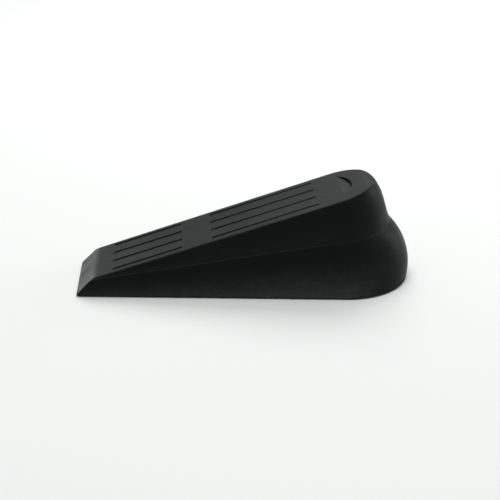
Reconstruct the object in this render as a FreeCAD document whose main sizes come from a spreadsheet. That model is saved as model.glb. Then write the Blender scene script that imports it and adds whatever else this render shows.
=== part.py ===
"""Rubber door stop: a grooved wedge set into a wider foot, with a grip pad under the foot.

Millimetres. X runs from the tip of the nose to the heel, Y across and Z up. The origin lies on the
floor under the middle of the object, while the sizes below count x from the tip of the nose. The
foot and the wedge are lofts through outlines with a nose, two straight sides and a round heel, on
planes that rise towards the heel. A side profile then cuts both to the bevel of the nose, the slope
of the ramp and the roll-off of the heel.
"""

import FreeCAD, Part
import math
import os

import Sketcher

SIZES = {
    # slopes and nose that the wedge and the foot share
    "overall_length": 128.5,
    "ramp_angle": 17.2,
    "ramp_start": 5.1,
    "ledge_angle": 8.24,
    "ledge_start": 5.75,
    "nose_angle": 45.0,
    "nose_lip": 0.8,
    "nose_blend": 7.0,
    "nose_corner": 1.2,
    # foot: half widths at the nose, radii at the heel, and how its wall runs between them
    "foot_lift": 0.4,
    "foot_bottom_half": 15.4,
    "foot_rim_half": 14.25,
    "foot_bottom_radius": 25.3,
    "foot_rim_radius": 17.4,
    "foot_flare": 2.8,
    "foot_crest": 0.2,
    "foot_heel_draw": 12.4,
    "foot_edge": 0.2,
    # wedge: the same
    "wedge_nose": 4.6,
    "wedge_rim_half": 14.15,
    "wedge_top_half": 14.1,
    "wedge_rim_radius": 17.3,
    "wedge_top_radius": 15.4,
    "wedge_rim_heel": 120.5,
    "wedge_heel_draw": 5.2,
    "wedge_lip": 1.7,
    "wedge_lip_flare": 5.0,
    "wedge_flare": 2.4,
    "wedge_edge": 0.5,
    "rolloff_corner": 113.4,
    "rolloff_angle": 60.0,
    "rolloff_radius": 5.0,
    # tongue under the wedge, and the pocket that it fills in the foot
    "tongue_level": 4.0,
    "tongue_height": 30.0,
    "tongue_nose": 20.0,
    "tongue_half": 8.5,
    "tongue_heel": 110.0,
    "tongue_radius": 12.0,
    "tongue_corner": 2.0,
    # grip grooves along the ramp
    "groove_width": 1.8,
    "groove_pitch": 7.55,
    "groove_count": 4,
    "groove_depth": 0.45,
    "groove_fade_depth": 0.32,
    "groove_edge": 0.15,
    "front_groove_start": 13.7,
    "front_groove_end": 40.4,
    "rear_groove_start": 51.3,
    "rear_groove_end": 91.5,
    # fingertip recess near the heel
    "recess_centre": 91.2,
    "recess_radius": 14.0,
    "recess_floor_start": 100.8,
    # grip pad under the foot
    "pad_nose": 4.0,
    "pad_half": 11.0,
    "pad_heel": 124.0,
    "pad_radius": 20.5,
    "pad_thickness": 2.4,
    "pad_corner": 2.0,
    "tread_width": 2.0,
    "tread_depth": 1.2,
    "tread_pitch": 8.0,
    "tread_count": 14,
    "tread_start": 12.0,
    # how far the cutting profiles reach past the solids
    "reach": 6.0,
    "sky": 60.0,
}

FOOT_STAGES = (0.0, 0.2, 0.4, 0.7, 1.0)
WEDGE_STAGES = (0.0, 0.1, 0.25, 0.45, 0.7, 1.0)

doc = FreeCAD.newDocument("door_stop")
sheet = doc.addObject("Spreadsheet::Sheet", "sizes")
for row, (alias, value) in enumerate(SIZES.items(), start=1):
    sheet.set(f"A{row}", alias)
    sheet.set(f"B{row}", str(value))
    sheet.setAlias(f"B{row}", alias)
doc.recompute()


# ---- expressions in the sheet's values ----

def size(alias):
    return f"sizes.{alias}"


def tangent(alias):
    return f"tan(sizes.{alias} * 1 deg)"


def value_of(expression):
    return float(sheet.evalExpression(expression))


def ramp_height(x):
    """Height of the ramp's plane at x."""
    return f"({size('ramp_start')} + ({x}) * {tangent('ramp_angle')})"


def ledge_height(x):
    """Height of the ledge's plane at x."""
    return f"({size('ledge_start')} + ({x}) * {tangent('ledge_angle')})"


def bevel_height(x):
    """Height of the nose's bevel at x."""
    return f"({size('nose_lip')} + ({x}) * {tangent('nose_angle')})"


def bevel_meets(start, slope):
    """The x at which the nose's bevel meets a plane of the given start and slope."""
    rise = f"({size(start)} - {size('nose_lip')})"
    return f"({rise} / ({tangent('nose_angle')} - {tangent(slope)}))"


# ---- sketches and features ----

def new_body(name):
    """A body whose own x = 0 is the tip of the nose, set so that the whole object is centred."""
    body = doc.addObject("PartDesign::Body", name)
    body.Label = name
    body.setExpression("Placement.Base.x", f"-{size('overall_length')} / 2")
    return body


def origin_part(body, role):
    return next(item for item in body.Origin.OriginFeatures if item.Role == role)


def new_sketch(body, name, role, offset="0", rise="0"):
    """An empty sketch on an origin plane, moved along its normal, rising along X at a slope."""
    sketch = body.newObject("Sketcher::SketchObject", name)
    sketch.AttachmentSupport = [(origin_part(body, role), "")]
    sketch.MapMode = "FlatFace"
    tilt = FreeCAD.Rotation(FreeCAD.Vector(0, -1, 0), math.degrees(math.atan(value_of(rise))))
    sketch.AttachmentOffset = FreeCAD.Placement(FreeCAD.Vector(0, 0, value_of(offset)), tilt)
    sketch.setExpression("AttachmentOffset.Base.z", f"({offset}) * 1 mm")
    if value_of(rise):
        sketch.setExpression("AttachmentOffset.Rotation.Angle", f"atan({rise})")
    return sketch


def bind(sketch, name, expression, kind, *ends):
    """Add a dimension to the sketch, name it and drive it from the sheet."""
    index = sketch.addConstraint(Sketcher.Constraint(kind, *ends, value_of(expression)))
    sketch.renameConstraint(index, name)
    sketch.setExpression(f"Constraints.{name}", expression)


def outline(body, name, start, rise, nose, half, corner, heel_end, radius):
    """An outline on a plane that rises along X: a nose edge with two rounded corners, two
    straight sides and a round heel. Its nose and its heel's end are given as seen from above."""
    sketch = new_sketch(body, name, "XY_Plane", start, rise)
    stretch = f"sqrt(1 + ({rise}) * ({rise}))"
    nose = f"({nose}) * {stretch}"
    centre = f"(({heel_end}) * {stretch} - ({radius}))"
    c, r = value_of(corner), value_of(radius)
    corner_x = value_of(f"{nose} + {corner}")
    corner_y = value_of(f"{half} - {corner}")
    heel = FreeCAD.Vector(value_of(centre), 0, 0)
    near = FreeCAD.Vector(corner_x, -corner_y, 0)
    far = FreeCAD.Vector(corner_x, corner_y, 0)
    # each side touches the corner's arc and the heel's arc where they face this way
    spread = math.asin((r - c) / (heel - far).Length)
    facing = math.pi / 2 + spread - math.atan2(corner_y, heel.x - corner_x)
    to_far = FreeCAD.Vector(math.cos(facing), math.sin(facing), 0)
    to_near = FreeCAD.Vector(to_far.x, -to_far.y, 0)
    up = FreeCAD.Vector(0, 0, 1)
    sketch.addGeometry(
        [
            Part.LineSegment(far - FreeCAD.Vector(c, 0, 0), near - FreeCAD.Vector(c, 0, 0)),
            Part.ArcOfCircle(Part.Circle(near, up, c), math.pi, 2 * math.pi - facing),
            Part.LineSegment(near + to_near * c, heel + to_near * r),
            Part.ArcOfCircle(Part.Circle(heel, up, r), -facing, 0),
            Part.ArcOfCircle(Part.Circle(heel, up, r), 0, facing),
            Part.LineSegment(heel + to_far * r, far + to_far * c),
            Part.ArcOfCircle(Part.Circle(far, up, c), facing, math.pi),
        ],
        False,
    )
    for first, second in ((0, 1), (1, 2), (2, 3), (4, 5), (5, 6), (6, 0)):
        sketch.addConstraint(Sketcher.Constraint("Tangent", first, 2, second, 1))
    sketch.addConstraint(Sketcher.Constraint("Coincident", 3, 2, 4, 1))
    sketch.addConstraint(Sketcher.Constraint("Coincident", 3, 3, 4, 3))
    sketch.addConstraint(Sketcher.Constraint("PointOnObject", 3, 2, -1))
    sketch.addConstraint(Sketcher.Constraint("PointOnObject", 3, 3, -1))
    sketch.addConstraint(Sketcher.Constraint("Symmetric", 1, 3, 6, 3, -1))
    sketch.addConstraint(Sketcher.Constraint("Equal", 1, 6))
    bind(sketch, "corner", corner, "Radius", 1)
    bind(sketch, "radius", radius, "Radius", 3)
    bind(sketch, "centre", centre, "DistanceX", -1, 1, 3, 3)
    bind(sketch, "half", f"{half} - {corner}", "DistanceY", 1, 3, -1, 1)
    bind(sketch, "nose", f"{nose} + {corner}", "DistanceX", -1, 1, 1, 3)
    return sketch


def profile(body, name, corners, offset="0"):
    """A closed side profile. A corner is x, height and, where it is rounded, its radius."""
    sketch = new_sketch(body, name, "XZ_Plane", offset)
    count = len(corners)
    points = [FreeCAD.Vector(value_of(c[0]), value_of(c[1]), 0) for c in corners]
    arrive, leave, arcs = {}, {}, {}
    for i, corner in enumerate(corners):
        arrive[i] = leave[i] = points[i]
        if len(corner) == 3:
            before = (points[i - 1] - points[i]).normalize()
            after = (points[(i + 1) % count] - points[i]).normalize()
            radius = value_of(corner[2])
            half_turn = before.getAngle(after) / 2
            arrive[i] = points[i] + before * (radius / math.tan(half_turn))
            leave[i] = points[i] + after * (radius / math.tan(half_turn))
            middle = points[i] + (before + after).normalize() * (radius / math.sin(half_turn))
            turns_left = before.cross(after).z < 0
            first, last = (arrive[i], leave[i]) if turns_left else (leave[i], arrive[i])
            start = math.atan2(first.y - middle.y, first.x - middle.x)
            end = math.atan2(last.y - middle.y, last.x - middle.x)
            circle = Part.Circle(middle, FreeCAD.Vector(0, 0, 1), radius)
            arcs[i] = (Part.ArcOfCircle(circle, start, end), turns_left)
    for i in range(count):
        sketch.addGeometry(Part.LineSegment(leave[i], arrive[(i + 1) % count]), False)
    for i, corner in enumerate(corners):
        before, after = (i - 1) % count, i
        if i in arcs:
            curve, turns_left = arcs[i]
            arc = sketch.addGeometry(curve, False)
            first, last = (1, 2) if turns_left else (2, 1)
            sketch.addConstraint(Sketcher.Constraint("Tangent", before, 2, arc, first))
            sketch.addConstraint(Sketcher.Constraint("Tangent", arc, last, after, 1))
            point = sketch.addGeometry(Part.Point(points[i]), True)
            sketch.addConstraint(Sketcher.Constraint("PointOnObject", point, 1, before))
            sketch.addConstraint(Sketcher.Constraint("PointOnObject", point, 1, after))
            bind(sketch, f"round_{i}", corner[2], "Radius", arc)
            vertex = point
        else:
            sketch.addConstraint(Sketcher.Constraint("Coincident", before, 2, after, 1))
            vertex = after
        bind(sketch, f"along_{i}", corner[0], "DistanceX", -1, 1, vertex, 1)
        bind(sketch, f"height_{i}", corner[1], "DistanceY", -1, 1, vertex, 1)
    return sketch


def loft(body, name, sketches):
    feature = body.newObject("PartDesign::AdditiveLoft", name)
    feature.Profile = sketches[0]
    feature.Sections = sketches[1:]
    return feature


def checked_cut(feature, before):
    """Recompute and make sure that the feature has taken material away."""
    doc.recompute()
    if feature.Shape.isNull() or feature.Shape.Volume > before - 1e-3:
        raise RuntimeError(f"{feature.Name} cuts nothing")
    return feature


def cut_through(body, name, sketch, width=None):
    """Cut the side profile away on both sides of its plane, right through or to a width."""
    doc.recompute()
    before = body.Shape.Volume
    feature = body.newObject("PartDesign::Pocket", name)
    feature.Profile = sketch
    feature.Midplane = True
    if width:
        feature.Type = "Length"
        feature.setExpression("Length", width)
    else:
        feature.Type = "ThroughAll"
    return checked_cut(feature, before)


def cut_upwards(body, name, sketch, depth=None):
    """Cut a level sketch's area away above its plane, right through or to a depth."""
    doc.recompute()
    before = body.Shape.Volume
    feature = body.newObject("PartDesign::Pocket", name)
    feature.Profile = sketch
    feature.Reversed = True
    if depth:
        feature.Type = "Length"
        feature.setExpression("Length", depth)
    else:
        feature.Type = "ThroughAll"
    return checked_cut(feature, before)


def pattern(body, name, feature, role, length, occurrences):
    doc.recompute()
    before = body.Shape.Volume
    rows = body.newObject("PartDesign::LinearPattern", name)
    rows.Originals = [feature]
    rows.Direction = (origin_part(body, role), [""])
    rows.setExpression("Length", length)
    rows.setExpression("Occurrences", occurrences)
    body.Tip = rows
    return checked_cut(rows, before)


def middle(edge):
    return edge.valueAt((edge.FirstParameter + edge.LastParameter) / 2)


def wall_edges(shape, wanted):
    """Names of the edges between a lofted wall and any other face, where the middle is wanted."""
    names = []
    for i, edge in enumerate(shape.Edges, start=1):
        faces = shape.ancestorsOfType(edge, Part.Face)
        walls = [face for face in faces if isinstance(face.Surface, Part.BSplineSurface)]
        if len(faces) == 2 and len(walls) == 1 and wanted(middle(edge)):
            names.append(f"Edge{i}")
    return names


def fillet(body, name, radius, wanted):
    """Round the wall's edges whose middle is wanted."""
    doc.recompute()
    base = body.Tip
    feature = body.newObject("PartDesign::Fillet", name)
    feature.Base = (base, wall_edges(base.Shape, wanted))
    feature.setExpression("Radius", radius)
    return checked_cut(feature, base.Shape.Volume)


# ---- outlines of the two walls ----

def between(first, last, share):
    return f"({first} + ({last} - {first}) * ({share}))"


def foot_outline(body, name, stage):
    """The foot's wall on its way from the floor, stage 0, to the ledge, stage 1. Its sides flare
    out towards the floor. Its heel bulges."""
    start = between(size("foot_lift"), size("ledge_start"), stage)
    rise = f"({tangent('ledge_angle')} * {stage})"
    drawn_in = f"1 - pow(1 - {stage}; {size('foot_flare')})"
    half = between(size("foot_bottom_half"), size("foot_rim_half"), drawn_in)
    radius = between(size("foot_bottom_radius"), size("foot_rim_radius"), drawn_in)
    past_crest = f"({stage} - {size('foot_crest')})"
    heel = f"({size('overall_length')} - {size('foot_heel_draw')} * {past_crest} * {past_crest})"
    return outline(body, name, start, rise, "0", half, size("nose_corner"), heel, radius)


def wedge_outline(body, name, stage):
    """The wedge's wall on its way from the ledge, stage 0, to the ramp, stage 1. Its sides flare
    out towards the ledge. Its heel leans in more and more towards the ramp, and ends in a lip
    at the ledge."""
    start = between(size("ledge_start"), size("ramp_start"), stage)
    rise = between(tangent("ledge_angle"), tangent("ramp_angle"), stage)
    drawn_in = f"1 - pow(1 - {stage}; {size('wedge_flare')})"
    half = between(size("wedge_rim_half"), size("wedge_top_half"), drawn_in)
    radius = between(size("wedge_rim_radius"), size("wedge_top_radius"), drawn_in)
    lip = f"{size('wedge_lip')} * (1 - pow(1 - {stage}; {size('wedge_lip_flare')}))"
    lean = f"{size('wedge_heel_draw')} * {stage} * {stage}"
    heel = f"({size('wedge_rim_heel')} - {lip} - {lean})"
    return outline(body, name, start, rise, size("wedge_nose"), half, size("nose_corner"),
                   heel, radius)


def tongue_outline(body):
    return outline(body, f"{body.Name}_tongue_outline", size("tongue_level"), "0",
                   size("tongue_nose"), size("tongue_half"), size("tongue_corner"),
                   size("tongue_heel"), size("tongue_radius"))


def pad_outline(body):
    return outline(body, f"{body.Name}_pad_outline", "0", "0", size("pad_nose"),
                   size("pad_half"), size("pad_corner"), size("pad_heel"), size("pad_radius"))


def cutting_ends():
    """The x before the nose and past the heel where cutting profiles start and end."""
    return f"-{size('reach')}", f"({size('overall_length')} + {size('reach')})"


def above(*corners):
    """A closed profile of everything above the line through the corners."""
    back, front = corners[0][0], corners[-1][0]
    return [*corners, (front, size("sky")), (back, size("sky"))]


def top_profile(body, name):
    """Everything above the nose's bevel, the ramp and the heel's roll-off."""
    back, front = cutting_ends()
    meet = bevel_meets("ramp_start", "ramp_angle")
    crown = size("rolloff_corner")
    fall = f"({front} - {crown}) * {tangent('rolloff_angle')}"
    return profile(body, name, above(
        (back, bevel_height(back)),
        (meet, ramp_height(meet), size("nose_blend")),
        (crown, ramp_height(crown), size("rolloff_radius")),
        (front, f"({ramp_height(crown)} - {fall})"),
    ))


# ---- foot ----

def make_foot():
    body = new_body("foot")
    outlines = [foot_outline(body, f"foot_outline_{i}", t) for i, t in enumerate(FOOT_STAGES)]
    loft(body, "foot_wall", outlines)
    cut_through(body, "foot_nose", top_profile(body, "foot_top_profile"))
    underside = SIZES["foot_lift"] + SIZES["foot_edge"]
    behind_lip = SIZES["nose_corner"]
    fillet(body, "foot_rim_round", size("foot_edge"),
           lambda p: p.z > underside and p.x > SIZES["foot_edge"] / 2)
    fillet(body, "foot_bottom_round", size("foot_edge"),
           lambda p: p.z < underside and p.x > behind_lip)
    cut_upwards(body, "foot_tongue_pocket", tongue_outline(body))
    cut_upwards(body, "foot_pad_recess", pad_outline(body), size("pad_thickness"))
    return body


# ---- wedge ----

def groove_outline(body, name, first, last, last_depth):
    """The nearest groove of a group as a slot on the groove's floor, which rises to last_depth
    under the ramp. Its ends are given as seen from above."""
    climb = f"(({size('groove_depth')} - {last_depth}) / ({last} - {first}))"
    rise = f"({tangent('ramp_angle')} + {climb})"
    start = f"({ramp_height(first)} - {size('groove_depth')} - {rise} * {first})"
    stretch = f"sqrt(1 + {rise} * {rise})"
    half_width = f"({size('groove_width')} / 2)"
    side = f"({size('groove_pitch')} * ({size('groove_count')} - 1) / 2)"
    from_nose = f"({first} * {stretch} + {half_width})"
    to_heel = f"({last} * {stretch} - {half_width})"
    sketch = new_sketch(body, name, "XY_Plane", start, rise)
    r = value_of(half_width)
    back = FreeCAD.Vector(value_of(from_nose), -value_of(side), 0)
    front = FreeCAD.Vector(value_of(to_heel), -value_of(side), 0)
    across = FreeCAD.Vector(0, r, 0)
    up = FreeCAD.Vector(0, 0, 1)
    sketch.addGeometry(
        [
            Part.ArcOfCircle(Part.Circle(back, up, r), math.pi / 2, 3 * math.pi / 2),
            Part.LineSegment(back - across, front - across),
            Part.ArcOfCircle(Part.Circle(front, up, r), -math.pi / 2, math.pi / 2),
            Part.LineSegment(front + across, back + across),
        ],
        False,
    )
    for i in range(4):
        sketch.addConstraint(Sketcher.Constraint("Tangent", i, 2, (i + 1) % 4, 1))
    sketch.addConstraint(Sketcher.Constraint("Equal", 0, 2))
    sketch.addConstraint(Sketcher.Constraint("Horizontal", 1))
    bind(sketch, "half_width", half_width, "Radius", 0)
    bind(sketch, "from_nose", from_nose, "DistanceX", -1, 1, 0, 3)
    bind(sketch, "to_heel", to_heel, "DistanceX", -1, 1, 2, 3)
    bind(sketch, "side", side, "DistanceY", 0, 3, -1, 1)
    return sketch


def cut_grooves(body, group, last_depth):
    first, last = size(f"{group}_groove_start"), size(f"{group}_groove_end")
    sketch = groove_outline(body, f"{group}_groove_outline", first, last, last_depth)
    groove = cut_upwards(body, f"{group}_groove", sketch)
    length = f"{size('groove_pitch')} * ({size('groove_count')} - 1)"
    pattern(body, f"{group}_grooves", groove, "Y_Axis", length, size("groove_count"))


def groove_edges(shape, wanted):
    """Names of the grooves' edges that lie on a face that looks up, where the depth is wanted."""
    reach = SIZES["groove_pitch"] * (SIZES["groove_count"] - 1) / 2 + SIZES["groove_width"] / 2
    margin = SIZES["groove_edge"]
    names = []
    for i, edge in enumerate(shape.Edges, start=1):
        point = middle(edge)
        along = SIZES["front_groove_start"] - margin < point.x < SIZES["rear_groove_end"] + margin
        if not along or abs(point.y) > reach + margin:
            continue
        planes = [face for face in shape.ancestorsOfType(edge, Part.Face)
                  if isinstance(face.Surface, Part.Plane)]
        looks_up = any(face.normalAt(0, 0).z > 0.5 for face in planes)
        if looks_up and wanted(value_of(ramp_height(point.x)) - point.z):
            names.append(f"Edge{i}")
    return names


def round_grooves(body):
    """Round the grooves' rims and the foot of their walls."""
    flat = SIZES["groove_edge"] / 100
    for name, wanted in (("groove_rims_round", lambda depth: abs(depth) < flat),
                         ("groove_floors_round", lambda depth: depth > SIZES["groove_edge"])):
        doc.recompute()
        base = body.Tip
        feature = body.newObject("PartDesign::Fillet", name)
        feature.Base = (base, groove_edges(base.Shape, wanted))
        feature.setExpression("Radius", size("groove_edge"))
        doc.recompute()


def cut_recess(body):
    """A fingertip recess with a level floor, which deepens towards the heel."""
    sketch = new_sketch(body, "recess_outline", "XY_Plane", ramp_height(size("recess_floor_start")))
    centre = FreeCAD.Vector(SIZES["recess_centre"], 0, 0)
    circle = Part.Circle(centre, FreeCAD.Vector(0, 0, 1), SIZES["recess_radius"])
    sketch.addGeometry(circle, False)
    sketch.addConstraint(Sketcher.Constraint("PointOnObject", 0, 3, -1))
    bind(sketch, "radius", size("recess_radius"), "Radius", 0)
    bind(sketch, "centre", size("recess_centre"), "DistanceX", -1, 1, 0, 3)
    cut_upwards(body, "recess", sketch)


def make_wedge():
    body = new_body("wedge")
    outlines = [wedge_outline(body, f"wedge_outline_{i}", t) for i, t in enumerate(WEDGE_STAGES)]
    loft(body, "wedge_wall", outlines)
    cut_through(body, "wedge_ramp", top_profile(body, "wedge_top_profile"))
    fillet(body, "wedge_top_round", size("wedge_edge"),
           lambda p: p.z > value_of(ledge_height(p.x)) + SIZES["wedge_edge"] / 2)
    tongue = body.newObject("PartDesign::Pad", "wedge_tongue")
    tongue.Profile = tongue_outline(body)
    tongue.setExpression("Length", size("tongue_height"))
    cut_through(body, "tongue_top", top_profile(body, "tongue_top_profile"))
    cut_grooves(body, "front", size("groove_depth"))
    cut_grooves(body, "rear", size("groove_fade_depth"))
    round_grooves(body)
    cut_recess(body)
    return body


# ---- grip pad ----

def make_pad():
    body = new_body("grip_pad")
    doc.recompute()
    plate = body.newObject("PartDesign::Pad", "pad_plate")
    plate.Profile = pad_outline(body)
    plate.setExpression("Length", size("pad_thickness"))
    start, half = size("tread_start"), f"{size('tread_width')} / 2"
    tread = profile(body, "tread_profile", [
        (f"{start} - {half}", f"-{size('tread_depth')}"),
        (f"{start} + {half}", f"-{size('tread_depth')}"),
        (f"{start} + {half}", size("tread_depth")),
        (f"{start} - {half}", size("tread_depth")),
    ])
    groove = cut_through(body, "tread_groove", tread)
    length = f"{size('tread_pitch')} * ({size('tread_count')} - 1)"
    pattern(body, "tread_grooves", groove, "X_Axis", length, size("tread_count"))
    return body


# ---- build, check and write ----

def check(bodies):
    """Stop if any object failed, or if a sub-part isn't one whole solid."""
    doc.recompute()
    for item in doc.Objects:
        if "Invalid" in item.State or "Error" in item.State:
            raise RuntimeError(f"{item.Name} failed: {item.State}")
    for body in bodies:
        shape = body.Shape
        if shape.isNull() or not shape.isValid() or len(shape.Solids) != 1:
            raise RuntimeError(f"{body.Label} isn't one valid solid")


def main():
    bodies = [make_foot(), make_wedge(), make_pad()]
    check(bodies)
    os.makedirs("parts", exist_ok=True)
    for body in bodies:
        body.Shape.exportStep(f"parts/{body.Label}.step")
        box = body.Shape.optimalBoundingBox(False)
        print(f"{body.Label}: {body.Shape.Volume:.0f} mm3, x {box.XMin:.2f} to {box.XMax:.2f}, "
              f"y {box.YMin:.2f} to {box.YMax:.2f}, z {box.ZMin:.2f} to {box.ZMax:.2f}")


main()
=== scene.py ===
import math

import bpy
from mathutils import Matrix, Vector

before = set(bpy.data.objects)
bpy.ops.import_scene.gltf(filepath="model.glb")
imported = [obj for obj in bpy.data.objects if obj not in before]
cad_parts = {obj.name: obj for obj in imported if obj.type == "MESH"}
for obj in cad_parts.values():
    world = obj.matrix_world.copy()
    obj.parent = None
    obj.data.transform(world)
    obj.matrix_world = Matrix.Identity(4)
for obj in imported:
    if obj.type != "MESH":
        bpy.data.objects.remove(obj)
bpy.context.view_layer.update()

MM = 0.001
SHARP_ANGLE = math.radians(32)

# The camera looks down on the nose side of the near wall.
CAMERA_PLACE = Vector((-24.05, -369.3, 175.4)) * MM
CAMERA_TILT = math.radians(66.0)
CAMERA_TURN = math.radians(-4.07)
CAMERA_LENS = 75.0
SENSOR_WIDTH = 36.0

FLOOR_RADIUS = 6.0
FLOOR_SIDES = 128
FLOOR_COLOUR = (0.93, 0.94, 0.93)
FLOOR_ROUGHNESS = 0.9
FLOOR_SHINE = 0.1
ROOM_COLOUR = (0.80, 0.82, 0.81)
ROOM_STRENGTH = 0.32

# Each soft light's name, place, target, width, depth and power in watts.
SOFTBOXES = (
    ("top_light", Vector((0, 0, 1.0)), Vector((0, 0, 0)), 0.8, 0.8, 4.9),
    ("back_light", Vector((0.2, 0.7, 0.8)), Vector((0, 0, 0)), 0.8, 0.6, 5.7),
    ("nose_light", Vector((-1.1, 1.9, 0.2)), Vector((-0.05, 0, 0.01)), 1.0, 0.3, 4.5),
    ("heel_light", Vector((1.2, 0.2, 0.25)), Vector((0.06, 0, 0.01)), 0.5, 0.4, 2.6),
)

# The rubber's own colours, and the paler colours of full painted light from above on faces that
# turn up.
WEDGE_OWN_COLOUR = (0.0032, 0.0042, 0.0039)
FOOT_OWN_COLOUR = (0.0030, 0.0040, 0.0037)
BODY_PAINTED_TOPLIGHT = (0.029, 0.0335, 0.032)
PAD_OWN_COLOUR = (0.0060, 0.0065, 0.0063)
PAD_PAINTED_TOPLIGHT = (0.020, 0.021, 0.0205)

# The painted light from above begins on a slightly upturned face and is full on one that faces
# well up.
PAINTED_TOPLIGHT_START = 0.06
PAINTED_TOPLIGHT_FULL = 0.80
CLOUD_SIZE = 16 * MM
MOTTLE_SIZE = 1.1 * MM
RUBBED_SIZE = 7 * MM
RUBBED_STRETCH = (0.3, 1.0, 1.0)
SMOOTHER = 0.06
ROUGHER = 0.07
GRAIN_DEPTH = 0.03 * MM
WAVE_SIZE = 9 * MM
WAVE_DEPTH = 0.10 * MM

# The middle part of a noise's range, which holds most of its values.
NOISE_LOW = 0.3
NOISE_HIGH = 0.7

# The colour sockets of Blender's mix node.
MIX_FIRST = 6
MIX_SECOND = 7
MIX_RESULT = 2


def make_camera():
    """A long lens above and in front of the near wall."""
    data = bpy.data.cameras.new("camera")
    data.lens = CAMERA_LENS
    data.sensor_width = SENSOR_WIDTH
    data.clip_start = 0.01
    data.clip_end = 50.0
    camera = bpy.data.objects.new("camera", data)
    camera.location = CAMERA_PLACE
    camera.rotation_euler = (CAMERA_TILT, 0.0, CAMERA_TURN)
    bpy.context.scene.collection.objects.link(camera)
    bpy.context.scene.camera = camera


def make_softbox(name, place, target, width, depth, power):
    """A soft area light at place that shines at target."""
    data = bpy.data.lights.new(name, "AREA")
    data.shape = "RECTANGLE"
    data.size = width
    data.size_y = depth
    data.energy = power
    light = bpy.data.objects.new(name, data)
    light.location = place
    light.rotation_euler = (target - place).to_track_quat("-Z", "Y").to_euler()
    light.visible_camera = False
    bpy.context.scene.collection.objects.link(light)


def make_room():
    """Even light from all round."""
    world = bpy.data.worlds.new("room")
    world.use_nodes = True
    background = world.node_tree.nodes["Background"]
    background.inputs["Color"].default_value = (*ROOM_COLOUR, 1.0)
    background.inputs["Strength"].default_value = ROOM_STRENGTH
    bpy.context.scene.world = world


def make_floor():
    """A plain pale disc under the object."""
    ring = [
        (FLOOR_RADIUS * math.cos(turn), FLOOR_RADIUS * math.sin(turn), 0.0)
        for turn in (2 * math.pi * i / FLOOR_SIDES for i in range(FLOOR_SIDES))
    ]
    mesh = bpy.data.meshes.new("floor")
    mesh.from_pydata(ring, [], [list(range(FLOOR_SIDES))])
    floor = bpy.data.objects.new("floor", mesh)
    bpy.context.scene.collection.objects.link(floor)
    material = bpy.data.materials.new("floor")
    material.use_nodes = True
    shader = material.node_tree.nodes["Principled BSDF"]
    shader.inputs["Base Color"].default_value = (*FLOOR_COLOUR, 1.0)
    shader.inputs["Roughness"].default_value = FLOOR_ROUGHNESS
    shader.inputs["Specular IOR Level"].default_value = FLOOR_SHINE
    mesh.materials.append(material)


class Nodes:
    """A material's node tree, with short ways to add nodes to it."""

    def __init__(self, name):
        self.material = bpy.data.materials.new(name)
        self.material.use_nodes = True
        self.tree = self.material.node_tree
        self.shader = self.tree.nodes["Principled BSDF"]
        self.place = self.add("ShaderNodeTexCoord").outputs["Object"]

    def add(self, kind, **settings):
        node = self.tree.nodes.new(kind)
        for key, value in settings.items():
            setattr(node, key, value)
        return node

    def join(self, source, target):
        self.tree.links.new(source, target)

    def noise(self, size, detail=2.0, stretch=(1.0, 1.0, 1.0)):
        """Noise from 0 to 1 whose lumps are about size across."""
        mapping = self.add("ShaderNodeMapping")
        mapping.inputs["Scale"].default_value = stretch
        self.join(self.place, mapping.inputs["Vector"])
        noise = self.add("ShaderNodeTexNoise")
        noise.inputs["Scale"].default_value = 1.0 / size
        noise.inputs["Detail"].default_value = detail
        self.join(mapping.outputs["Vector"], noise.inputs["Vector"])
        return noise.outputs["Fac"]

    def spread(self, source, low, high, start=0.0, end=1.0):
        """source between low and high, turned into a number between start and end."""
        node = self.add("ShaderNodeMapRange", clamp=True)
        node.inputs["From Min"].default_value = low
        node.inputs["From Max"].default_value = high
        node.inputs["To Min"].default_value = start
        node.inputs["To Max"].default_value = end
        self.join(source, node.inputs["Value"])
        return node.outputs["Result"]

    def math(self, operation, first, second):
        """The result of operation on two numbers or sockets."""
        node = self.add("ShaderNodeMath", operation=operation)
        for socket, value in zip(node.inputs, (first, second)):
            if isinstance(value, (int, float)):
                socket.default_value = value
            else:
                self.join(value, socket)
        return node.outputs["Value"]

    def mix(self, share, first, second):
        """first where share is 0 and second where it is 1, each a colour or a socket."""
        node = self.add("ShaderNodeMix", data_type="RGBA")
        self.join(share, node.inputs["Factor"])
        sockets = (node.inputs[MIX_FIRST], node.inputs[MIX_SECOND])
        for socket, value in zip(sockets, (first, second)):
            if isinstance(value, tuple):
                socket.default_value = (*value, 1.0)
            else:
                self.join(value, socket)
        return node.outputs[MIX_RESULT]

    def bump(self, height, depth, strength=1.0, under=None):
        """A surface raised by up to depth, on top of the bump under it."""
        node = self.add("ShaderNodeBump")
        node.inputs["Distance"].default_value = depth
        node.inputs["Strength"].default_value = strength
        self.join(height, node.inputs["Height"])
        if under is not None:
            self.join(under, node.inputs["Normal"])
        return node.outputs["Normal"]


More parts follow.
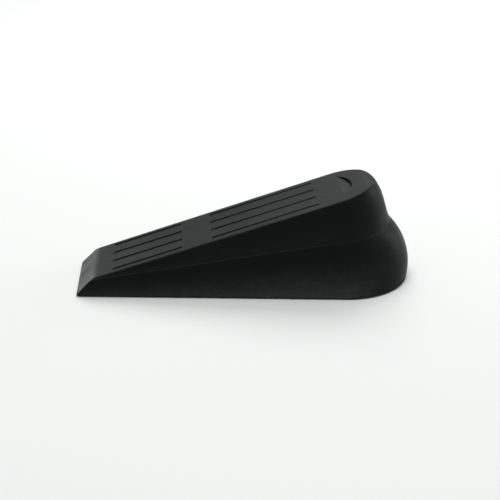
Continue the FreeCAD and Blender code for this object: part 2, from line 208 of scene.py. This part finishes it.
def rubber(name, own_colour, painted_toplight, roughness, grain, gloss):
    """Moulded rubber: darkest on walls, with painted light from above that makes it paler where
    it faces up, a fine grain, and rubbed patches that are smoother."""
    nodes = Nodes(name)
    normal = nodes.add("ShaderNodeSeparateXYZ")
    nodes.join(nodes.add("ShaderNodeNewGeometry").outputs["Normal"], normal.inputs["Vector"])
    cloud = nodes.noise(CLOUD_SIZE, detail=4.0)
    mottle = nodes.noise(MOTTLE_SIZE, detail=5.0)
    # Painted light: the colour turns paler as the face turns up, standing in for light from
    # above.
    painted_toplight_mask = nodes.spread(normal.outputs["Z"], PAINTED_TOPLIGHT_START, PAINTED_TOPLIGHT_FULL)
    uneven = nodes.math(
        "MULTIPLY",
        nodes.spread(cloud, NOISE_LOW, NOISE_HIGH, 0.82, 1.12),
        nodes.spread(mottle, NOISE_LOW, NOISE_HIGH, 0.80, 1.20),
    )
    share = nodes.math("MULTIPLY", painted_toplight_mask, uneven)
    nodes.join(nodes.mix(share, own_colour, painted_toplight), nodes.shader.inputs["Base Color"])
    rubbed = nodes.noise(RUBBED_SIZE, detail=4.0, stretch=RUBBED_STRETCH)
    nodes.join(
        nodes.spread(rubbed, NOISE_LOW, NOISE_HIGH, roughness - SMOOTHER, roughness + ROUGHER),
        nodes.shader.inputs["Roughness"],
    )
    fine = nodes.bump(nodes.noise(grain, detail=2.0), GRAIN_DEPTH, 0.6)
    broad = nodes.bump(nodes.noise(WAVE_SIZE, detail=1.0), WAVE_DEPTH, 0.25, under=fine)
    nodes.join(broad, nodes.shader.inputs["Normal"])
    nodes.shader.inputs["Specular IOR Level"].default_value = gloss
    return nodes.material


def dress(node, material):
    """Gives a CAD node its material, smooth where its faces meet gently."""
    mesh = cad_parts[node].data
    mesh.materials.clear()
    mesh.materials.append(material)
    mesh.shade_smooth()
    mesh.set_sharp_from_angle(angle=SHARP_ANGLE)


bpy.context.scene.view_settings.view_transform = "Standard"
make_camera()
make_room()
for softbox in SOFTBOXES:
    make_softbox(*softbox)
make_floor()

satin = {"roughness": 0.42, "grain": 0.5 * MM, "gloss": 0.08}
grippy = {"roughness": 0.66, "grain": 0.35 * MM, "gloss": 0.12}
dress("wedge", rubber("wedge_rubber", WEDGE_OWN_COLOUR, BODY_PAINTED_TOPLIGHT, **satin))
dress("foot", rubber("foot_rubber", FOOT_OWN_COLOUR, BODY_PAINTED_TOPLIGHT, **satin))
dress("grip_pad", rubber("pad_rubber", PAD_OWN_COLOUR, PAD_PAINTED_TOPLIGHT, **grippy))
